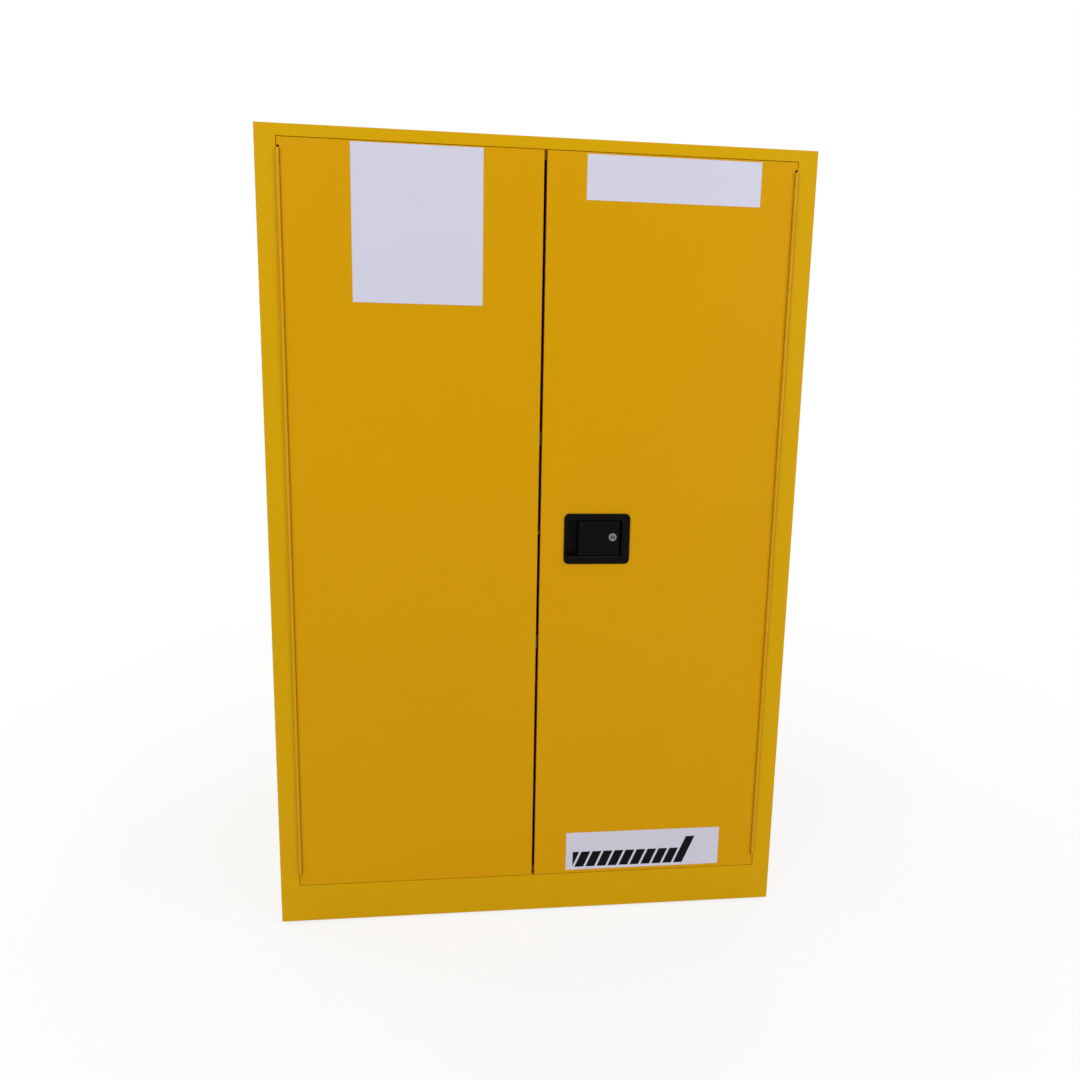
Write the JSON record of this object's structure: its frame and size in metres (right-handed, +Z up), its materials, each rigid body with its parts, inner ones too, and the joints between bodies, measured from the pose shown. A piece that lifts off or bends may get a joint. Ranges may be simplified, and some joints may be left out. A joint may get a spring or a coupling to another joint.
{
  "type": "flammable safety cabinet",
  "caption": "Double-walled steel safety cabinet for flammable liquids with two hinged doors, recessed paddle latch, adjustable shelves, vents and a leak-proof sump.",
  "frame": {"origin": "centre of the bounding box on the floor", "axes": "+Z up, front towards -Y, +X to the right seen from the front"},
  "size_m": [1.114, 0.8662, 1.656],
  "materials": {
    "yellow_paint": "yellow powder coat, satin",
    "black_housing": "black satin moulding",
    "zinc_steel": "bright zinc-plated steel",
    "galvanised": "galvanised sheet",
    "lock_chrome": "polished chrome",
    "dark_spring": "oiled spring steel",
    "earth_brass": "brass",
    "vent_metal": "yellow powder coat on steel",
    "gauze": "fine steel gauze"
  },
  "bodies": {
    "cabinet": {"front_frame": "yellow_paint", "left_side_panel": "yellow_paint", "right_side_panel": "yellow_paint", "top_panel": "yellow_paint", "back_panel": "yellow_paint", "base_panel": "yellow_paint", "left_liner": "yellow_paint", "right_liner": "yellow_paint", "back_liner": "yellow_paint", "top_liner": "yellow_paint", "sump_pan": "yellow_paint", "base_channels": "galvanised", "wall_channels": "galvanised", "shelf_standards": "galvanised", "shelf_brackets": "galvanised", "right_frame_leaf": "yellow_paint", "left_frame_leaf": "yellow_paint", "vent_sleeves": "vent_metal", "flame_arresters": "gauze", "earth_stud": "earth_brass", "foot_nuts": "zinc_steel"},
    "left_door": {"left_door_skin": "yellow_paint", "left_door_inner": "yellow_paint", "left_door_stiffener": "galvanised", "left_door_leaf": "yellow_paint"},
    "right_door": {"right_door_skin": "yellow_paint", "right_door_inner": "yellow_paint", "right_door_stiffener": "galvanised", "right_door_leaf": "yellow_paint", "handle_housing": "black_housing", "latch_plate": "zinc_steel", "latch_cover": "yellow_paint", "rod_guides": "zinc_steel", "paddle_spring": "dark_spring"},
    "paddle": {"paddle": "black_housing", "lock_body": "lock_chrome"},
    "lock": {"lock_plug": "lock_chrome", "lock_cam": "zinc_steel"},
    "latch_hub": {"latch_hub": "zinc_steel"},
    "upper_rod": {"upper_rod": "zinc_steel"},
    "lower_rod": {"lower_rod": "zinc_steel"},
    "centre_bolt": {"centre_bolt": "zinc_steel"},
    "lower_shelf": {"lower_shelf": "galvanised"},
    "upper_shelf": {"upper_shelf": "galvanised"},
    "right_vent_plug": {"right_vent_plug": "vent_metal"},
    "left_vent_plug": {"left_vent_plug": "vent_metal"},
    "front_left_foot": {"front_left_foot": "zinc_steel"},
    "front_right_foot": {"front_right_foot": "zinc_steel"},
    "back_left_foot": {"back_left_foot": "zinc_steel"},
    "back_right_foot": {"back_right_foot": "zinc_steel"}
  },
  "joints": [
    {"name": "left_door_hinge", "type": "hinge", "parent": "cabinet", "child": "left_door", "pos_m": [-0.5025, -0.43015, 0.867], "axis": [0, 0, -1], "range_deg": [0, 180]},
    {"name": "right_door_hinge", "type": "hinge", "parent": "cabinet", "child": "right_door", "pos_m": [0.5025, -0.43015, 0.867], "axis": [0, 0, 1], "range_deg": [0, 180]},
    {"name": "paddle_pull", "type": "hinge", "parent": "right_door", "child": "paddle", "pos_m": [0.168, -0.41925, 0.863], "axis": [0, 0, 1], "range_deg": [0, 35], "stiffness_Nm_per_rad": 0.5},
    {"name": "hub_turn", "type": "hinge", "parent": "right_door", "child": "latch_hub", "pos_m": [0.1622, -0.40085, 0.856], "axis": [0, 1, 0], "range_deg": [0, 22.1]},
    {"name": "upper_rod_slide", "type": "slide", "parent": "right_door", "child": "upper_rod", "axis": [0, 0, -1], "range_m": [0, 0.012]},
    {"name": "lower_rod_slide", "type": "slide", "parent": "right_door", "child": "lower_rod", "axis": [0, 0, 1], "range_m": [0, 0.012]},
    {"name": "centre_bolt_slide", "type": "slide", "parent": "right_door", "child": "centre_bolt", "axis": [1, 0, 0], "range_m": [0, 0.012]},
    {"name": "lock_turn", "type": "hinge", "parent": "paddle", "child": "lock", "pos_m": [0.155, -0.41885, 0.865], "axis": [0, 1, 0], "range_deg": [0, 90]},
    {"name": "lower_shelf_lift", "type": "slide", "parent": "cabinet", "child": "lower_shelf", "axis": [0, 0, 1], "range_m": [0, 0.03]},
    {"name": "upper_shelf_lift", "type": "slide", "parent": "cabinet", "child": "upper_shelf", "axis": [0, 0, 1], "range_m": [0, 0.03]},
    {"name": "right_vent_plug_out", "type": "slide", "parent": "cabinet", "child": "right_vent_plug", "axis": [1, 0, 0], "range_m": [0, 0.06]},
    {"name": "left_vent_plug_out", "type": "slide", "parent": "cabinet", "child": "left_vent_plug", "axis": [-1, 0, 0], "range_m": [0, 0.06]},
    {"name": "front_left_foot_screw", "type": "slide", "parent": "cabinet", "child": "front_left_foot", "axis": [0, 0, -1], "range_m": [0, 0.015]},
    {"name": "front_right_foot_screw", "type": "slide", "parent": "cabinet", "child": "front_right_foot", "axis": [0, 0, -1], "range_m": [0, 0.015]},
    {"name": "back_left_foot_screw", "type": "slide", "parent": "cabinet", "child": "back_left_foot", "axis": [0, 0, -1], "range_m": [0, 0.015]},
    {"name": "back_right_foot_screw", "type": "slide", "parent": "cabinet", "child": "back_right_foot", "axis": [0, 0, -1], "range_m": [0, 0.015]}
  ],
  "couplings": [
    {"joint": "hub_turn", "follows": "paddle_pull", "ratio": 0.62857},
    {"joint": "upper_rod_slide", "follows": "paddle_pull", "m_per_rad": 0.019624},
    {"joint": "lower_rod_slide", "follows": "paddle_pull", "m_per_rad": 0.019624},
    {"joint": "centre_bolt_slide", "follows": "paddle_pull", "m_per_rad": 0.019624}
  ]
}
